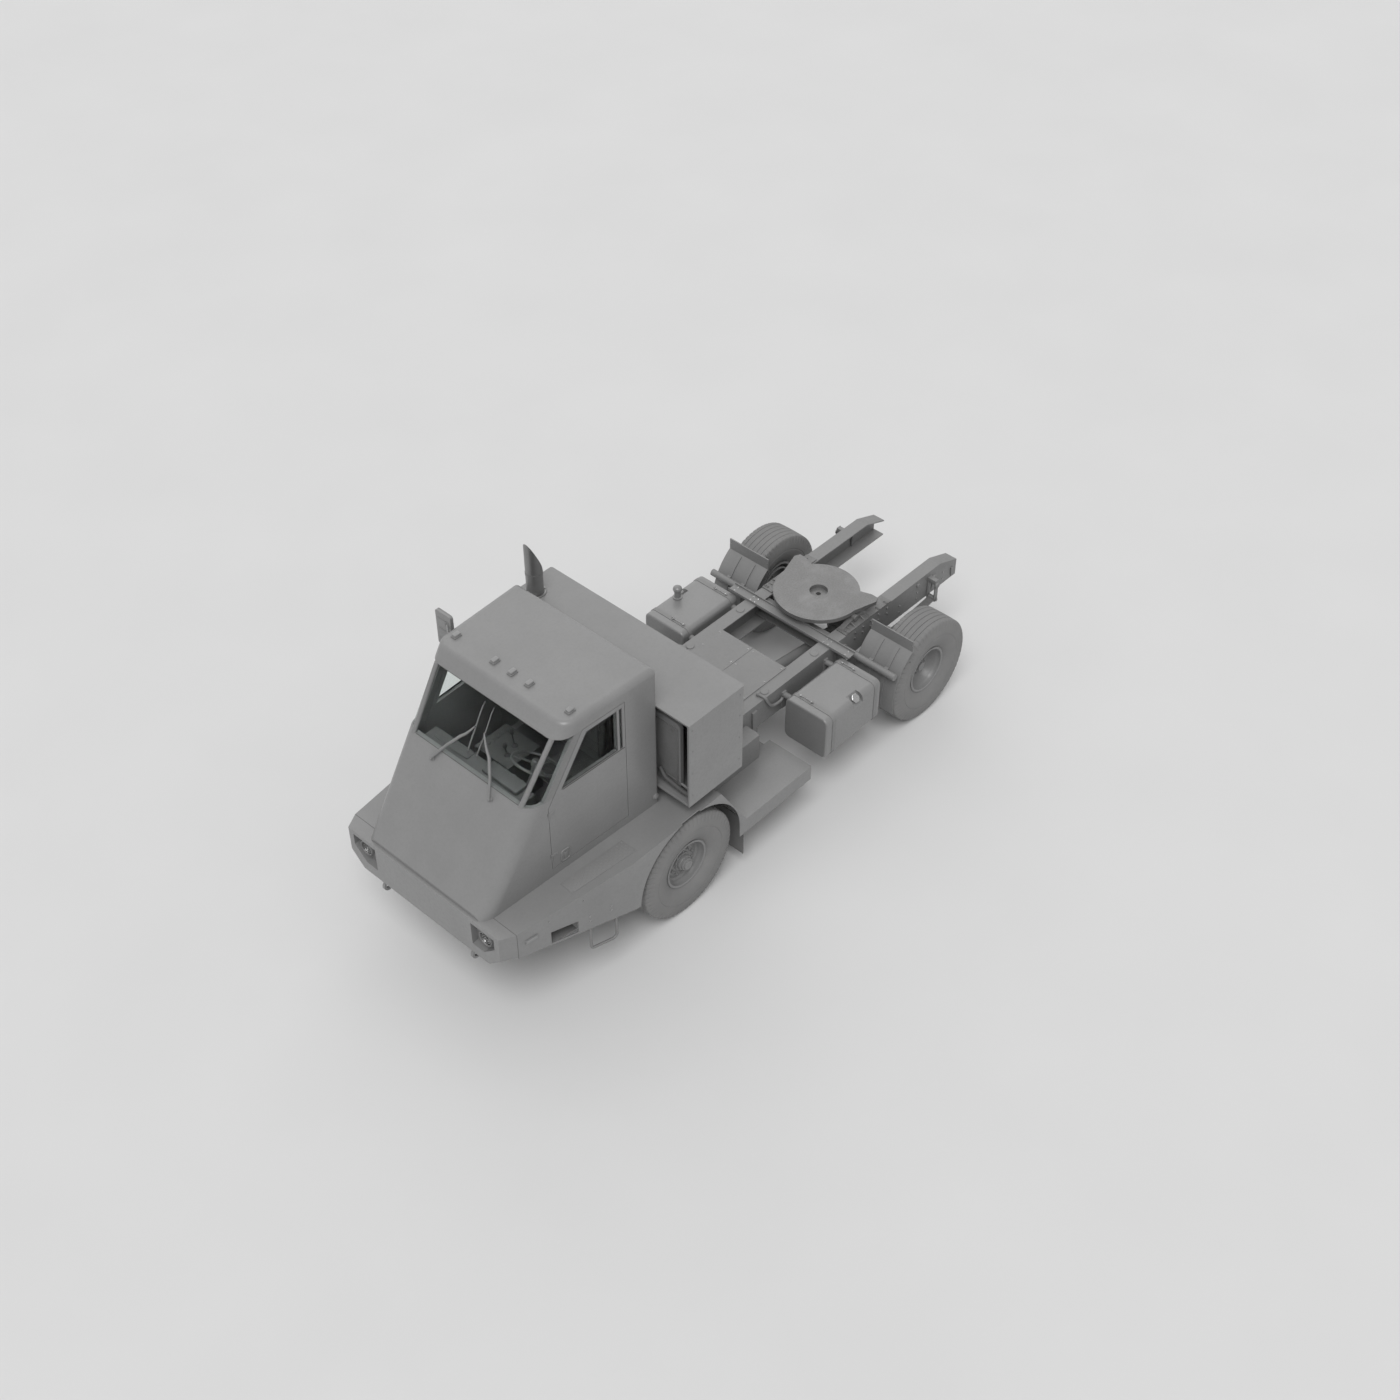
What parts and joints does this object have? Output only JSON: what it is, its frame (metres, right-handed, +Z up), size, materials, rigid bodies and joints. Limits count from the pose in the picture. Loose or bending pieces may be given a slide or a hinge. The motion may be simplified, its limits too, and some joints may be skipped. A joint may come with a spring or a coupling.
{
  "type": "terminal tractor",
  "caption": "Two-axle yard tractor with a full-width sloped cab over a low deck, sheet housing, side tanks and a rocking fifth wheel.",
  "frame": {"origin": "on the floor under the middle of the bounding box", "axes": "+X to the front along the length, +Y to the driver's left, +Z up"},
  "size_m": [7.19, 2.5, 3.0772],
  "materials": {
    "body_paint": "smooth satin grey",
    "chassis_paint": "satin grey",
    "wheel_paint": "satin grey",
    "tyre_rubber": "matt grey rubber",
    "flap_rubber": "matt grey rubber",
    "lamp_lens": "smooth",
    "interior_plastic": "fine grain",
    "seat_fabric": "woven",
    "cast_metal": "as cast, satin",
    "stack_steel": "satin",
    "tank_metal": "satin grey",
    "glass": "clear"
  },
  "bodies": {
    "root": {"frame_rails": "chassis_paint", "cross_members": "chassis_paint", "body_mounts": "chassis_paint", "bumper": "body_paint", "lamps": "lamp_lens", "fender_l": "body_paint", "fender_r": "body_paint", "outriggers": "chassis_paint", "stirrups": "chassis_paint", "mud_flaps": "flap_rubber", "cab_floor": "body_paint", "cab_roof": "body_paint", "cab_rear_wall": "body_paint", "cab_sides": "body_paint", "cab_nose": "body_paint", "screen_frame": "chassis_paint", "cab_glass": "glass", "wipers": "chassis_paint", "cab_interior": "interior_plastic", "steering_wheel": "interior_plastic", "seat_frame": "interior_plastic", "seat_cushion": "seat_fabric", "seat_back": "seat_fabric", "housing": "body_paint", "radiator": "chassis_paint", "exhaust_stack": "stack_steel", "side_boxes": "chassis_paint", "engine_gearbox": "cast_metal", "cover_plates": "chassis_paint", "propshaft": "chassis_paint", "springs": "chassis_paint", "front_axle": "chassis_paint", "rear_axle": "chassis_paint", "tanks": "tank_metal", "tank_caps": "tank_metal", "tank_straps": "chassis_paint", "cross_channel": "chassis_paint", "mudguards": "chassis_paint", "fifth_wheel_base": "cast_metal"},
    "knuckle_l": {"knuckle_l": "chassis_paint"},
    "knuckle_r": {"knuckle_r": "chassis_paint"},
    "tie_rod": {"tie_rod": "chassis_paint"},
    "wheel_fl": {"tyre_fl": "tyre_rubber", "rim_fl": "wheel_paint"},
    "wheel_fr": {"tyre_fr": "tyre_rubber", "rim_fr": "wheel_paint"},
    "wheel_rl": {"tyre_rl": "tyre_rubber", "rim_rl": "wheel_paint"},
    "wheel_rr": {"tyre_rr": "tyre_rubber", "rim_rr": "wheel_paint"},
    "door_l": {"door_l": "body_paint", "door_glass_l": "glass"},
    "door_r": {"door_r": "body_paint", "door_glass_r": "glass", "mirror": "body_paint"},
    "fifth_wheel": {"fifth_wheel": "cast_metal"}
  },
  "joints": [
    {"name": "steer_l", "type": "hinge", "parent": "root", "child": "knuckle_l", "pos_m": [1.383, 0.88, 0.6], "axis": [0, 0, 1], "range_deg": [-26, 26]},
    {"name": "steer_r", "type": "hinge", "parent": "root", "child": "knuckle_r", "pos_m": [1.383, -0.88, 0.6], "axis": [0, 0, 1], "range_deg": [-26, 26]},
    {"name": "tie_rod_slide", "type": "slide", "parent": "root", "child": "tie_rod", "axis": [0, 1, 0], "range_m": [-0.0625, 0.0625]},
    {"name": "spin_fl", "type": "hinge", "parent": "knuckle_l", "child": "wheel_fl", "pos_m": [1.383, 1.04, 0.6], "axis": [0, 1, 0], "continuous": true},
    {"name": "spin_fr", "type": "hinge", "parent": "knuckle_r", "child": "wheel_fr", "pos_m": [1.383, -1.04, 0.6], "axis": [0, 1, 0], "continuous": true},
    {"name": "spin_rl", "type": "hinge", "parent": "root", "child": "wheel_rl", "pos_m": [-2.325, 1.04, 0.6], "axis": [0, 1, 0], "continuous": true},
    {"name": "spin_rr", "type": "hinge", "parent": "root", "child": "wheel_rr", "pos_m": [-2.325, -1.04, 0.6], "axis": [0, 1, 0], "continuous": true},
    {"name": "door_l_hinge", "type": "hinge", "parent": "root", "child": "door_l", "pos_m": [2.7445, 0.8197, 1.8], "axis": [0, 0, -1], "range_deg": [0, 75]},
    {"name": "door_r_hinge", "type": "hinge", "parent": "root", "child": "door_r", "pos_m": [2.7445, -0.8197, 1.8], "axis": [0, 0, 1], "range_deg": [0, 75]},
    {"name": "fifth_wheel_rock", "type": "hinge", "parent": "root", "child": "fifth_wheel", "pos_m": [-1.937, 0, 1.165], "axis": [0, 1, 0], "range_deg": [-12, 7]}
  ],
  "couplings": [
    {"joint": "steer_r", "follows": "steer_l", "ratio": 1},
    {"joint": "tie_rod_slide", "follows": "steer_l", "m_per_rad": -0.137}
  ]
}
